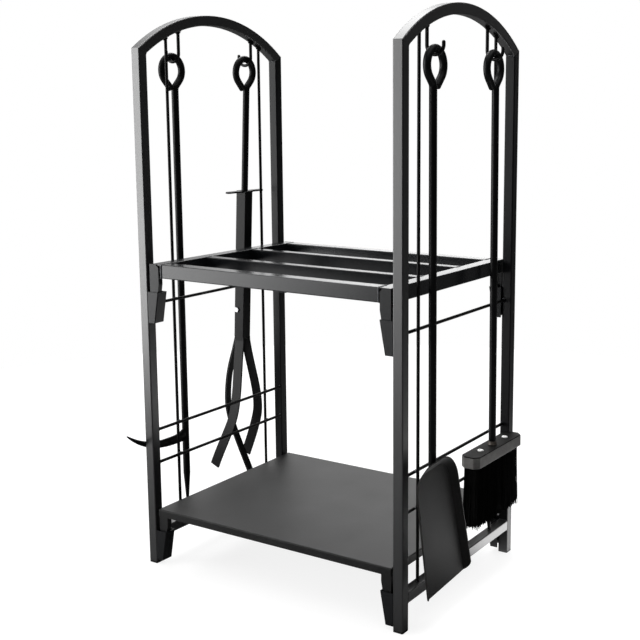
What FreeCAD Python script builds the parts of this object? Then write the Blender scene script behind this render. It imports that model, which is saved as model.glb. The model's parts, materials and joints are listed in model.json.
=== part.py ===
"""Firewood log rack: two welded hoop frames, a slatted shelf and a tray that drop into
tapered sockets, and four hearth tools hanging by their eyes from hooks on the hoops.

Millimetres, +Z up, +X to the right, -Y is the front. The rack stands on z = 0.
"""
import math
import os

import FreeCAD, Part
from FreeCAD import Matrix, Vector

# ---- driving sizes ----------------------------------------------------------------
WIDTH = 445.0            # outside of one hoop to outside of the other
DEPTH = 320.0            # front face to rear face of the posts
POST_TOP = 755.0         # outer corner where post and arch meet
ARCH_RISE = 54.0         # the arch's crown above that corner
TUBE = 15.0              # square tube of posts, arch and base rail
TUBE_WALL = 1.2
TUBE_ROUND = 1.6
ROD = 4.5                # upright and cross rods
BASE_RAIL_Z = 37.0       # underside of the base rail
CROSS_ROD_Z = (153.0, 203.0, 392.0)
FOOT_CAP = 3.0           # thickness of the plastic cap under each post
CAP_PLUG = 14.0          # length of the plug inside the post
CAP_FIT = 0.15

SHELF_TOP = 452.0
SHELF_TUBE = 20.0        # square tube of the shelf's rim
SLAT_WIDTH = 15.0
SHELF_TUBE_WALL = 1.2
SHELF_ROUND = 1.4
SHELF_PLAY = 3.5         # between a post's inner face and the side of shelf or tray
SLAT_FROM_MIDDLE = 53.0
TRAY_TOP = 85.0
TRAY_LIP = 11.0
TRAY_SHEET = 1.2
TRAY_SETBACK = 2.5       # behind the posts' front faces

SOCKET_MOUTH = 20.0      # from the post's face to the pocket's face, at the mouth
SOCKET_FOOT = 12.0       # the same, at its lower end
SOCKET_TALL = 45.0
SOCKET_DEEP = 18.5       # along Y
SOCKET_SHEET = 1.5
SOCKET_SETBACK = 0.2     # behind the post's front face
UPPER_SOCKET_TOP = 411.5
LOWER_SOCKET_TOP = 52.0
TONGUE_SHEET = 1.5
TONGUE_DEEP = 8.0        # along Y
TONGUE_FIT = 0.4         # between the tongue's slope and the pocket's
TONGUE_SHORT = 6.0       # the tongue ends this far above the pocket's foot

HOOK_WIRE = 4.8
HOOK_BEND = 12.0         # centre-line radius of the J
HOOK_BOTTOM = 739.0      # centre line at the J's lowest point
HOOK_TIP = 754.0
TOOL_BAR = 10.5          # round bar of every tool
EYE_RADIUS = 20.6        # centre-line radius of an eye
EYE_LEG_LEAN = 44.0      # degrees, the eye's two legs from upright
EYE_END_IN = 1.9         # the cut leg ends this far past the shaft's distance from the middle
NECK_RADIUS = 8.0        # bend between the shaft and its eye
NECK_GAP = 0.4           # between the shaft and the cut leg beside it
EYE_FIT = 0.15           # gap between the wire and the eye resting on it
TOOL_OFF = 0.5           # the tools hang this far outboard of the J's middle
TONGS_OFF = -3.0         # the tongs hang inboard of it
POKER_SHIFT = 1.95       # along Y from each hook to the middle of the eye on it
TONGS_SHIFT = 4.45
SHOVEL_SHIFT = -0.55
BRUSH_SHIFT = -3.95

POKER_TIP = 52.0
POKER_TAPER = 60.0
BARB_Z = 172.0           # where the barb leaves the bar
BARB_REACH = 122.0
BARB_DROOP = 2.5
BARB_RISE = 29.0         # tip above the root
BARB_TALL = 7.0          # half its height, beside the root
BARB_FLARE = 3.5         # added to that at the weld, and its middle raised as much
BARB_THICK = 3.6         # half its thickness

TONGS_LEAN = 2.75        # degrees, outward at the bottom
CHANNEL_X = 19.0
CHANNEL_Y = 18.0
CHANNEL_SHEET = 1.5
CHANNEL_TOP = 537.0
CHANNEL_FOOT = 296.0
GUARD_HALF = 44.0
GUARD_THICK = 2.5
GUARD_WIDE = 8.6
PRONG_WIDE = 17.0
PRONG_THICK = 3.0
PRONG_SPREAD = 39.0      # from the middle to a prong's tip, along Y
PIVOT_Z = 342.0
PIVOT_OUT = 5.0          # the pivot is this far outboard of the tongs' axis
PIN_IN = 2.2             # the drive pin is this far inboard of it
PIVOT_BOLT = 2.0
PIVOT_FIT = 0.06
DRIVE_PIN = 1.3
PIN_FIT = 0.35
JAW_WIDE = 12.0
JAW_THICK = 3.6
EAR_THICK = 3.0
SHAFT_FIT = 0.1

SHOVEL_LEAN = 0.2        # degrees, the shaft leans outward at its foot
PAN_LEAN = 6.2           # degrees between the shaft and the pan's floor
PAN_SKEW = 3.3           # degrees, the pan turned on its weld
PAN_TAPER = 7.0          # each side is this much nearer the middle at the top
PAN_SHEET = 1.5
PAN_HALF = 48.0          # half the width at the lip
PAN_FORWARD = 12.0       # the pan's middle is this far forward of the shaft
PAN_LIP_Z = 52.0
PAN_TOP_Z = 211.0
PAN_WALL = 9.5
PAN_FLARE = 10.5
PAN_ROUND = 26.0
PAN_SEAT_Z = 205.0       # where the shaft touches the pan's back
SHAFT_BEHIND_PAN = 192.0

BRUSH_LEAN = 0.5         # degrees, outward at the bottom
BRUSH_SWAY = 0.4         # degrees, its foot drifts to the front
BLOCK_HALF_LONG = 72.0
BLOCK_HALF_WIDE = 14.5
BLOCK_TOP = 195.0
BLOCK_TALL = 17.0
BLOCK_CHAMFER = 7.0
PLATE_THICK = 1.6
SCREW_FROM_SHAFT = 38.5
SCREW_OFF = 2.0          # the screws sit this far to the rear of even
SCREW_HEAD = 4.6
BRISTLE_TIP = 88.0
BRISTLE_GAP = 3.0        # bristles start this far inside the block's long sides
BRISTLE_FRONT = 7.0      # and this far inside its ends
BRISTLE_REAR = 13.0
BRISTLE_SPLAY = 3.0

# ---- sizes that follow ------------------------------------------------------------
POST_X = WIDTH / 2 - TUBE / 2
INNER_X = WIDTH / 2 - TUBE
HALF = DEPTH / 2
INNER_Y = HALF - TUBE
SHELF_OUT = INNER_X - SHELF_PLAY
ARCH_R = (HALF * HALF + ARCH_RISE * ARCH_RISE) / (2 * ARCH_RISE)
ARCH_MID_Z = POST_TOP + ARCH_RISE - ARCH_R
INNER_R = ARCH_R - TUBE
MITRE_IN_Z = ARCH_MID_Z + math.sqrt(INNER_R ** 2 - INNER_Y ** 2)
BASE_TOP = BASE_RAIL_Z + TUBE
# places along Y on the right hoop; the left hoop is the same part turned half a turn
ROD_Y = (-110.0, 99.0)
HOOK_Y = (-91.0, 73.0)
TOOL_R = TOOL_BAR / 2
SHAFT_OFF = TOOL_R + NECK_GAP / 2
BEND_Z = HOOK_BOTTOM + HOOK_BEND
BEND_X = POST_X + HOOK_BEND
X_AXIS = Vector(1, 0, 0)
Y_AXIS = Vector(0, 1, 0)
Z_AXIS = Vector(0, 0, 1)
NODES = {}


def keep(name, *solids):
    """Store one node; several solids make a group."""
    flat = []
    for solid in solids:
        flat.extend(solid.Solids)
    NODES[name] = flat


def box(x0, x1, y0, y1, z0, z1):
    """Box between two corners given in any order."""
    low = Vector(min(x0, x1), min(y0, y1), min(z0, z1))
    return Part.makeBox(abs(x1 - x0), abs(y1 - y0), abs(z1 - z0), low)


def rounded_box(x0, x1, y0, y1, z0, z1, along, radius):
    """Box with the four edges along one axis rounded."""
    solid = box(x0, x1, y0, y1, z0, z1)
    edges = []
    for edge in solid.Edges:
        way = edge.Vertexes[1].Point - edge.Vertexes[0].Point
        if way.cross(along).Length < 1e-6 * way.Length:
            edges.append(edge)
    return solid.makeFillet(radius, edges)


def rounded_tube(x0, x1, y0, y1, z0, z1, along, radius, wall):
    """Square tube, open at both ends."""
    outer = rounded_box(x0, x1, y0, y1, z0, z1, along, radius)
    shrink = [wall, wall, wall]
    if abs(along.x) > 0.5:
        shrink[0] = -1.0
    elif abs(along.y) > 0.5:
        shrink[1] = -1.0
    else:
        shrink[2] = -1.0
    lows = (min(x0, x1) + shrink[0], min(y0, y1) + shrink[1], min(z0, z1) + shrink[2])
    highs = (max(x0, x1) - shrink[0], max(y0, y1) - shrink[1], max(z0, z1) - shrink[2])
    return outer.cut(box(lows[0], highs[0], lows[1], highs[1], lows[2], highs[2]))


def prism_yz(points, x0, x1):
    """Polygon in the YZ plane, drawn out along X."""
    ring = [Vector(x0, y, z) for y, z in points]
    ring.append(ring[0])
    return Part.Face(Part.makePolygon(ring)).extrude(Vector(x1 - x0, 0, 0))


def prism_xz(points, y0, y1):
    """Polygon in the XZ plane, drawn out along Y."""
    ring = [Vector(x, y0, z) for x, z in points]
    ring.append(ring[0])
    return Part.Face(Part.makePolygon(ring)).extrude(Vector(0, y1 - y0, 0))


def disc(centre, normal, radius):
    """Round face."""
    return Part.Face(Part.Wire(Part.makeCircle(radius, centre, normal)))


def rod(start, end, radius):
    """Round bar between two points."""
    way = end - start
    return Part.makeCylinder(radius, way.Length, start, way)


def turned(solid, angle, centre, axis):
    """Copy turned about an axis."""
    copy = solid.copy()
    copy.rotate(centre, axis, angle)
    return copy


def mirror_y(solid):
    """Copy mirrored front to back."""
    return solid.mirror(Vector(0, 0, 0), Y_AXIS)


def mirror_x(solid):
    """Copy mirrored left to right."""
    return solid.mirror(Vector(0, 0, 0), X_AXIS)


def one(solids):
    """Fuse touching pieces into one clean solid."""
    body = solids[0]
    for solid in solids[1:]:
        body = body.fuse(solid)
    return body.removeSplitter()


def spline(points):
    """Smooth edge through points."""
    curve = Part.BSplineCurve()
    curve.interpolate(points)
    return curve.toShape()


def band_xz(path, width, y0, y1):
    """Curved flat bar: a smooth path in the XZ plane given a width, drawn out along Y."""
    left = []
    right = []
    last = len(path) - 1
    for index, (x, z) in enumerate(path):
        ahead = path[min(index + 1, last)]
        behind = path[max(index - 1, 0)]
        way = Vector(ahead[0] - behind[0], 0, ahead[1] - behind[1]).normalize()
        side = Vector(-way.z, 0, way.x) * (width / 2)
        middle = Vector(x, y0, z)
        left.append(middle + side)
        right.append(middle - side)
    edges = [spline(left), Part.makeLine(left[-1], right[-1]), spline(right[::-1]),
             Part.makeLine(right[0], left[0])]
    return Part.Face(Part.Wire(edges)).extrude(Vector(0, y1 - y0, 0))


# ---- hoop frame -------------------------------------------------------------------
def hoop(name, left):
    """One side frame, built as the right one and turned half a turn for the left."""

    def place(solid):
        return turned(solid, 180, Vector(0, 0, 0), Z_AXIS) if left else solid

    x0 = POST_X - TUBE / 2
    x1 = POST_X + TUBE / 2
    # posts: square tubes cut on the mitre at their tops
    clip = prism_yz([(INNER_Y, 0), (HALF, 0), (HALF, POST_TOP), (INNER_Y, MITRE_IN_Z)], x0, x1)
    tube = rounded_tube(x0, x1, INNER_Y, HALF, FOOT_CAP, POST_TOP, Z_AXIS, TUBE_ROUND, TUBE_WALL)
    rear_post = tube.common(clip)
    front_post = mirror_y(rear_post)
    posts = {"front": front_post, "rear": rear_post}
    for end, post in posts.items():
        other = {"front": "rear", "rear": "front"}[end]
        keep(f"{name}_{other if left else end}_post", place(post))
    # arch: the same tube revolved about the arch's centre, cut on both mitres
    crown = ARCH_MID_Z + ARCH_R
    pivot = Vector(0, 0, ARCH_MID_Z)
    outer = rounded_box(x0, x1, -1, 1, crown - TUBE, crown, Y_AXIS, TUBE_ROUND)
    section = [f for f in outer.Faces if f.normalAt(0, 0).y > 0.9][0]
    section.translate(Vector(0, -1, 0))
    half_turn = math.degrees(math.atan2(HALF, POST_TOP - ARCH_MID_Z)) + 4
    section.rotate(pivot, X_AXIS, -half_turn)
    arch = section.revolve(pivot, X_AXIS, 2 * half_turn)
    core_face = Part.Face(Part.makePolygon([
        Vector(x0 + TUBE_WALL, 0, crown - TUBE_WALL), Vector(x1 - TUBE_WALL, 0, crown - TUBE_WALL),
        Vector(x1 - TUBE_WALL, 0, crown - TUBE + TUBE_WALL),
        Vector(x0 + TUBE_WALL, 0, crown - TUBE + TUBE_WALL),
        Vector(x0 + TUBE_WALL, 0, crown - TUBE_WALL)]))
    core_face.rotate(pivot, X_AXIS, -half_turn - 2)
    arch = arch.cut(core_face.revolve(pivot, X_AXIS, 2 * half_turn + 4))
    slope = (POST_TOP - MITRE_IN_Z) / TUBE
    reach = 90.0
    ends = [(INNER_Y - reach, MITRE_IN_Z - reach * slope), (HALF + reach, POST_TOP + reach * slope),
            (HALF + reach, crown + reach)]
    ring = ends + [(-y, z) for y, z in reversed(ends)]
    arch = arch.common(prism_yz(ring, x0 - 1, x1 + 1))
    keep(f"{name}_arch", place(arch))
    # base rail between the posts
    rail = rounded_tube(x0, x1, -INNER_Y, INNER_Y, BASE_RAIL_Z, BASE_TOP, Y_AXIS, TUBE_ROUND, TUBE_WALL)
    keep(f"{name}_base_rail", place(rail))
    # upright rods run from the base rail to the underside of the arch
    under_arch = Part.makeCylinder(INNER_R, TUBE, Vector(x0, 0, ARCH_MID_Z), X_AXIS)
    under_arch = under_arch.fuse(box(x0, x1, -INNER_Y, INNER_Y, 0, ARCH_MID_Z))
    uprights = []
    for y in ROD_Y:
        bar = rod(Vector(POST_X, y, BASE_TOP), Vector(POST_X, y, crown), ROD / 2)
        uprights.append(place(bar.common(under_arch)))
    keep(f"{name}_upright_rods", *uprights)
    # cross rods lie against the inner side of the uprights
    cross_x = POST_X - ROD - 0.05
    cross = []
    for z in CROSS_ROD_Z:
        cross.append(place(rod(Vector(cross_x, -INNER_Y, z), Vector(cross_x, INNER_Y, z), ROD / 2)))
    keep(f"{name}_cross_rods", *cross)
    # hooks: a wire down from the arch, bent outward into a J
    hooks = []
    wire = HOOK_WIRE / 2
    for y in HOOK_Y:
        drop = rod(Vector(POST_X, y, BEND_Z), Vector(POST_X, y, crown), wire).common(under_arch)
        start = disc(Vector(POST_X, y, BEND_Z), Z_AXIS, wire)
        bend = start.revolve(Vector(POST_X + HOOK_BEND, y, BEND_Z), Vector(0, -1, 0), 180)
        far = POST_X + 2 * HOOK_BEND
        tip = rod(Vector(far, y, BEND_Z), Vector(far, y, HOOK_TIP), wire)
        ball = Part.makeSphere(wire, Vector(far, y, HOOK_TIP))
        hooks.append(place(one([drop, bend, tip, ball])))
    keep(f"{name}_hooks", *hooks)
    # caps under the posts, with a plug inside each
    caps = []
    plug = TUBE / 2 - TUBE_WALL - CAP_FIT
    for y in (-POST_Y, POST_Y):
        pad = rounded_box(x0, x1, y - TUBE / 2, y + TUBE / 2, 0, FOOT_CAP, Z_AXIS, TUBE_ROUND)
        stub = box(POST_X - plug, POST_X + plug, y - plug, y + plug, FOOT_CAP, FOOT_CAP + CAP_PLUG)
        caps.append(place(one([pad, stub])))
    keep(f"{name}_foot_caps", *caps)
    # sockets, two to a tier
    for tier, top in (("upper", UPPER_SOCKET_TOP), ("lower", LOWER_SOCKET_TOP)):
        rear = socket(top)
        keep(f"{name}_{tier}_sockets", place(rear), place(mirror_y(rear)))


POST_Y = HALF - TUBE / 2


def pocket_face(z, top, inset):
    """Distance from the middle to the pocket's sloping wall at a height, less an inset."""
    slope = (SOCKET_MOUTH - SOCKET_FOOT) / SOCKET_TALL
    return INNER_X - SOCKET_MOUTH + (top - z) * slope + inset


def socket(top):
    """Tapered sheet pocket on the rear right post, open at its top and bottom."""
    foot = top - SOCKET_TALL
    y1 = HALF - SOCKET_SETBACK
    y0 = y1 - SOCKET_DEEP
    shell = prism_xz([(INNER_X, foot), (INNER_X, top), (pocket_face(top, top, 0), top),
                      (pocket_face(foot, top, 0), foot)], y0, y1)
    shell = shell.makeFillet(1.2, [e for e in shell.Edges if is_slope(e)])
    low = foot - 1
    high = top + 1
    room = prism_xz([(INNER_X + 1, low), (INNER_X + 1, high),
                     (pocket_face(high, top, SOCKET_SHEET), high),
                     (pocket_face(low, top, SOCKET_SHEET), low)], y0 + SOCKET_SHEET, y1 - SOCKET_SHEET)
    return shell.cut(room)


def is_slope(edge):
    """True for the long edges that lean in the XZ plane."""
    way = edge.Vertexes[1].Point - edge.Vertexes[0].Point
    return abs(way.z) > 10 and abs(way.x) > 1


def tongue(socket_top, sheet_top, wall_top, face_y, corner, out):
    """Folded tongue at the rear right corner: a face plate and two side walls below."""
    foot = socket_top - SOCKET_TALL + TONGUE_SHORT
    inset = SOCKET_SHEET + TONGUE_FIT
    kink = socket_top + 12.0
    edge_top = max(pocket_face(kink, socket_top, inset), SHELF_OUT - SHELF_TUBE)
    y1 = face_y
    y0 = y1 - TONGUE_SHEET
    outline = [(out, foot), (out, sheet_top), (edge_top + corner, sheet_top),
               (edge_top, sheet_top - corner), (edge_top, kink),
               (pocket_face(foot, socket_top, inset), foot)]
    plate = prism_xz(outline, y0, y1)
    skirt = [(out, foot), (out, wall_top), (edge_top, wall_top), (edge_top, kink),
             (pocket_face(foot, socket_top, inset), foot)]
    block = prism_xz(skirt, y1 - TONGUE_DEEP, y0)
    sheet = TONGUE_SHEET
    hollow = [(out - sheet, foot - 1), (out - sheet, wall_top + 1),
              (edge_top + sheet, wall_top + 1), (edge_top + sheet, kink),
              (pocket_face(foot - 1, socket_top, inset + sheet), foot - 1)]
    block = block.cut(prism_xz(hollow, y1 - TONGUE_DEEP - 1, y0))
    return one([plate, block])


def four_corners(solid):
    """The rear right piece and its three mirror images."""
    rear = [solid, mirror_x(solid)]
    return rear + [mirror_y(s) for s in rear]


# ---- shelf and tray ---------------------------------------------------------------
def shelf():
    """Rim of four tubes, two slats, and a tongue under each corner."""
    face_y = HALF - SOCKET_SETBACK - SOCKET_SHEET - 0.3
    end_y = face_y - TONGUE_SHEET
    z0 = SHELF_TOP - SHELF_TUBE
    inner = SHELF_OUT - SHELF_TUBE
    side = rounded_tube(inner, SHELF_OUT, -end_y, end_y, z0, SHELF_TOP, Y_AXIS, SHELF_ROUND, SHELF_TUBE_WALL)
    keep("shelf_right_rail", side)
    keep("shelf_left_rail", mirror_x(side))
    rear_y = end_y + TONGUE_SHEET - 2.5
    rear = rounded_tube(-inner, inner, rear_y - SHELF_TUBE, rear_y, z0, SHELF_TOP, X_AXIS,
                        SHELF_ROUND, SHELF_TUBE_WALL)
    keep("shelf_rear_rail", rear)
    keep("shelf_front_rail", mirror_y(rear))
    y0 = SLAT_FROM_MIDDLE - SLAT_WIDTH / 2
    slat = rounded_tube(-inner, inner, y0, y0 + SLAT_WIDTH, z0, SHELF_TOP, X_AXIS,
                        SHELF_ROUND, SHELF_TUBE_WALL)
    keep("shelf_slats", slat, mirror_y(slat))
    keep("shelf_tongues", *four_corners(tongue(UPPER_SOCKET_TOP, SHELF_TOP, z0, face_y, 5.0, SHELF_OUT)))


def tray():
    """Sheet pan upside down: a flat top with lips turned down, and four tongues."""
    half_y = HALF - TRAY_SETBACK
    z0 = TRAY_TOP - TRAY_LIP
    body = box(-SHELF_OUT, SHELF_OUT, -half_y, half_y, z0, TRAY_TOP)
    edges = [e for e in body.Edges if is_top_or_corner(e)]
    body = body.makeFillet(1.8, edges)
    sheet = TRAY_SHEET
    body = body.cut(box(-SHELF_OUT + sheet, SHELF_OUT - sheet, -half_y + sheet, half_y - sheet,
                        z0 - 1, TRAY_TOP - sheet))
    keep("tray_pan", body)
    under = TRAY_TOP - sheet
    corner = tongue(LOWER_SOCKET_TOP, under, under, half_y - sheet, 1.0, SHELF_OUT - sheet)
    keep("tray_tongues", *four_corners(corner))


def is_top_or_corner(edge):
    """True for a box's top edges and its upright corners."""
    first = edge.Vertexes[0].Point
    second = edge.Vertexes[1].Point
    return abs(first.z - second.z) > 1 or min(first.z, second.z) > TRAY_TOP - 0.1


# ---- tools ------------------------------------------------------------------------
def hang(offset, shift):
    """Where an eye rests in the J: its bar's X and Z there, and the Z of the eye's middle.

    offset is along X from the J's middle, shift along Y from the wire to the eye's middle.
    """
    room = HOOK_BEND - HOOK_WIRE / 2 - TOOL_R - EYE_FIT
    bar_z = BEND_Z - math.sqrt(room ** 2 - offset ** 2)
    inside = EYE_RADIUS - TOOL_R - HOOK_WIRE / 2 - EYE_FIT
    return BEND_X + offset, bar_z, bar_z - EYE_RADIUS + inside - math.sqrt(inside ** 2 - shift ** 2)


def eye_bar(x, y, eye_z, foot_z, side):
    """Round bar: a straight shaft whose top is bent into a drop-shaped eye.

    The eye's middle lies a little to one side of the shaft; its cut end comes down beside it.
    side is 1 when the shaft is to the rear of the eye's middle, -1 when it is to the front.
    """
    lean = math.radians(EYE_LEG_LEAN)
    middle = y - side * SHAFT_OFF

    def at(across, up):
        return Vector(x, middle + side * across, eye_z + up)

    root = (EYE_RADIUS * math.cos(lean), -EYE_RADIUS * math.sin(lean))
    # where the leg's centre line would meet the shaft's
    meet = root[1] - (root[0] - SHAFT_OFF) / math.tan(lean)
    trim = NECK_RADIUS * math.tan(lean / 2)
    neck = (SHAFT_OFF, meet - trim)
    leg_foot = (SHAFT_OFF + trim * math.sin(lean), meet + trim * math.cos(lean))
    end_across = SHAFT_OFF - EYE_END_IN
    end = (-end_across, root[1] - (root[0] - end_across) / math.tan(lean))
    shaft = rod(Vector(x, y, foot_z), at(*neck), TOOL_R)
    start = disc(at(*neck), Z_AXIS, TOOL_R)
    bend = start.revolve(at(SHAFT_OFF + NECK_RADIUS, neck[1]), Vector(-side, 0, 0), EYE_LEG_LEAN)
    leg = rod(at(*leg_foot), at(*root), TOOL_R)
    cut = disc(at(*root), Vector(0, side * math.sin(lean), math.cos(lean)), TOOL_R)
    ring = cut.revolve(at(0, 0), Vector(side, 0, 0), 180 + 2 * EYE_LEG_LEAN)
    far_leg = rod(at(*end), at(-root[0], root[1]), TOOL_R)
    return one([shaft, bend, leg, ring, far_leg])


def hung(solid, x, y, bar_z, lean):
    """Lean a tool outward about the bar that rests in its hook."""
    return turned(solid, -lean, Vector(x, y, bar_z), Y_AXIS)


def to_left(solid):
    """Carry a tool from the right hoop to the left one."""
    return turned(solid, 180, Vector(0, 0, 0), Z_AXIS)


def poker():
    """Pointed bar with one barb that sweeps forward and up."""
    y = HOOK_Y[1] + POKER_SHIFT - SHAFT_OFF
    x, _, eye_z = hang(TOOL_OFF, POKER_SHIFT)
    bar = eye_bar(x, y, eye_z, POKER_TIP + POKER_TAPER, -1)
    point = Part.makeCone(0.9, TOOL_R, POKER_TAPER, Vector(x, y, POKER_TIP))
    bar = one([bar, point])
    keep("poker_bar", to_left(bar))
    stations = 9
    rings = []
    for index in range(stations):
        t = (index / (stations - 1)) ** 1.3
        flare = BARB_FLARE * max(0.0, 1 - 9 * t)
        height = BARB_Z - BARB_DROOP * math.sin(math.pi * t) + BARB_RISE * t ** 3 + flare
        tall = BARB_TALL * (1 - t) ** 0.6 + 1.1 + flare
        thick = BARB_THICK * (1 - t) ** 0.6 + 0.6
        centre = Vector(x, y + BARB_REACH * t, height)
        oval = Part.Ellipse(centre + Z_AXIS * tall, centre + X_AXIS * thick, centre)
        rings.append(Part.Wire(oval.toShape()))
    barb = Part.makeLoft(rings, True, False).cut(bar)
    keep("poker_barb", to_left(max(barb.Solids, key=lambda s: s.Volume)))


def tongs():
    """Log tongs: the handle slides in a channel with two prongs and drives a third jaw."""
    y = HOOK_Y[0] + TONGS_SHIFT - SHAFT_OFF
    x, bar_z, eye_z = hang(TONGS_OFF, TONGS_SHIFT)

    def place(solid):
        return to_left(hung(solid, x, y, bar_z, TONGS_LEAN))

    # handle: eye and shaft, its foot slit and half cut away to hold the drive pin
    foot = PIVOT_Z - 6.0
    bar = eye_bar(x, y, eye_z, foot, -1)
    notch_top = PIVOT_Z + 9.0
    pin_x = x - PIN_IN
    pivot_x = x + PIVOT_OUT
    slit = EAR_THICK / 2 + 0.4
    bar = bar.cut(box(x - 6, x + 6, y - slit, y + slit, foot - 1, notch_top))
    bar = bar.cut(box(x + 0.9, x + 6, y - 6, y + 6, foot - 1, notch_top))
    pin_half = 4.0
    pin_hole = rod(Vector(pin_x, y - 6, PIVOT_Z), Vector(pin_x, y + 6, PIVOT_Z), DRIVE_PIN + 0.03)
    keep("tongs_handle", place(bar.cut(pin_hole)))
    pin = rod(Vector(pin_x, y - pin_half, PIVOT_Z), Vector(pin_x, y + pin_half, PIVOT_Z), DRIVE_PIN)
    keep("tongs_drive_pin", place(pin))
    # guard: finger bar on top of the channel
    half_x = GUARD_WIDE / 2
    guard = rounded_box(x - half_x, x + half_x, y - GUARD_HALF, y + GUARD_HALF, CHANNEL_TOP,
                        CHANNEL_TOP + GUARD_THICK, Z_AXIS, half_x - 0.5)
    centre = box(x - CHANNEL_X / 2, x + CHANNEL_X / 2, y - CHANNEL_Y / 2, y + CHANNEL_Y / 2,
                 CHANNEL_TOP, CHANNEL_TOP + GUARD_THICK)
    shaft_way = rod(Vector(x, y, CHANNEL_FOOT), Vector(x, y, POST_TOP), TOOL_R + SHAFT_FIT)
    keep("tongs_guard", place(one([guard, centre]).cut(shaft_way)))
    # channel: three sides of a box, open outward
    xi = x - CHANNEL_X / 2
    xo = x + CHANNEL_X / 2
    y0 = y - CHANNEL_Y / 2
    y1 = y + CHANNEL_Y / 2
    sheet = CHANNEL_SHEET
    channel = rounded_box(xi, xo + 5, y0, y1, CHANNEL_FOOT, CHANNEL_TOP, Z_AXIS, 1.4)
    channel = channel.cut(box(xo, xo + 10, y0 - 1, y1 + 1, CHANNEL_FOOT - 1, CHANNEL_TOP + 1))
    channel = channel.cut(box(xi + sheet, xo + 1, y0 + sheet, y1 - sheet, CHANNEL_FOOT - 1,
                              CHANNEL_TOP + 1))
    bolt_hole = rod(Vector(pivot_x, y0 - 9, PIVOT_Z), Vector(pivot_x, y1 + 9, PIVOT_Z), PIVOT_BOLT + 0.05)
    keep("tongs_channel", place(channel.cut(bolt_hole)))
    # prongs: curved flat bars welded under the channel's cheeks and spread apart below
    path = [(x - 0.5, 330.0), (x - 1.0, 290.0), (x - 5.8, 243.0), (x - 10.7, 195.0),
            (x - 8.7, 162.0), (x - 1.5, 138.0), (x + 6.6, 116.0), (x + 21.0, 78.0)]
    outline = band_xz(path, PRONG_WIDE, y, y + 60)
    cheek = CHANNEL_Y / 2 - PRONG_THICK
    spread = [(cheek, CHANNEL_FOOT + 1), (cheek, CHANNEL_FOOT - 6), (17.0, 236.0), (33.0, 150.0),
              (PRONG_SPREAD, 60.0)]
    near = [Vector(x - 60, y + offset, z) for offset, z in spread]
    far = [Vector(x - 60, y + offset + PRONG_THICK, z) for offset, z in spread]
    ring = [Part.makeLine(near[0], near[1]), spline(near[1:]), Part.makeLine(near[-1], far[-1]),
            spline(far[:0:-1]), Part.makeLine(far[1], far[0]), Part.makeLine(far[0], near[0])]
    sheet_way = Part.Face(Part.Wire(ring)).extrude(Vector(120, 0, 0))
    rear_prong = outline.common(sheet_way).cut(box(x - 60, x + 60, y - 60, y + 60, CHANNEL_FOOT, POST_TOP))
    mirror = Matrix()
    mirror.A22 = -1
    mirror.A24 = 2 * y
    front_prong = rear_prong.transformGeometry(mirror)
    # turning the tool to the left hoop swaps front and rear
    keep("tongs_rear_prong", place(front_prong))
    keep("tongs_front_prong", place(rear_prong))
    # pivot bolt with its head and nut outside the cheeks
    head = rod(Vector(pivot_x, y1 + 2.0, PIVOT_Z), Vector(pivot_x, y1, PIVOT_Z), 4.0)
    stem = rod(Vector(pivot_x, y0 - 3.4, PIVOT_Z), Vector(pivot_x, y1, PIVOT_Z), PIVOT_BOLT)
    nut_ring = [(pivot_x + 3.9 * math.cos(math.radians(60 * k)),
                 PIVOT_Z + 3.9 * math.sin(math.radians(60 * k))) for k in range(6)]
    nut = prism_xz(nut_ring, y0 - 2.8, y0)
    hole = rod(Vector(pivot_x, y0 - 4, PIVOT_Z), Vector(pivot_x, y0 + 1, PIVOT_Z), PIVOT_BOLT + 0.02)
    keep("tongs_pivot_bolt", place(one([stem, head])))
    keep("tongs_pivot_nut", place(nut.cut(hole)))
    # jaw: boss on the bolt, an ear slotted for the drive pin, and a strip bent into a claw
    jaw_half = JAW_WIDE / 2
    boss = rod(Vector(pivot_x, y - jaw_half, PIVOT_Z), Vector(pivot_x, y + jaw_half, PIVOT_Z), 3.8)
    claw_path = [(pivot_x, PIVOT_Z), (x + 8.5, 300.0), (x + 16.1, 270.0), (x + 23.5, 243.0),
                 (x + 29.2, 198.0), (x + 27.4, 168.0), (x + 19.2, 143.0), (x + 11.5, 127.0),
                 (x - 4.5, 97.0), (x - 24.0, 62.0)]
    claw = band_xz(claw_path, JAW_THICK, y - jaw_half, y + jaw_half)
    ear_end = pin_x - 3.2
    ear = box(ear_end, pivot_x, y - EAR_THICK / 2, y + EAR_THICK / 2, PIVOT_Z - 3.4, PIVOT_Z + 3.4)
    slot_r = DRIVE_PIN + PIN_FIT
    slot = box(ear_end - 1, pin_x + 0.4, y - 4, y + 4, PIVOT_Z - slot_r, PIVOT_Z + slot_r)
    slot = slot.fuse(rod(Vector(pin_x + 0.4, y - 4, PIVOT_Z), Vector(pin_x + 0.4, y + 4, PIVOT_Z), slot_r))
    bore = rod(Vector(pivot_x, y - 9, PIVOT_Z), Vector(pivot_x, y + 9, PIVOT_Z), PIVOT_BOLT + PIVOT_FIT)
    keep("tongs_jaw", place(one([boss, claw, ear]).cut(slot).cut(bore)))


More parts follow.
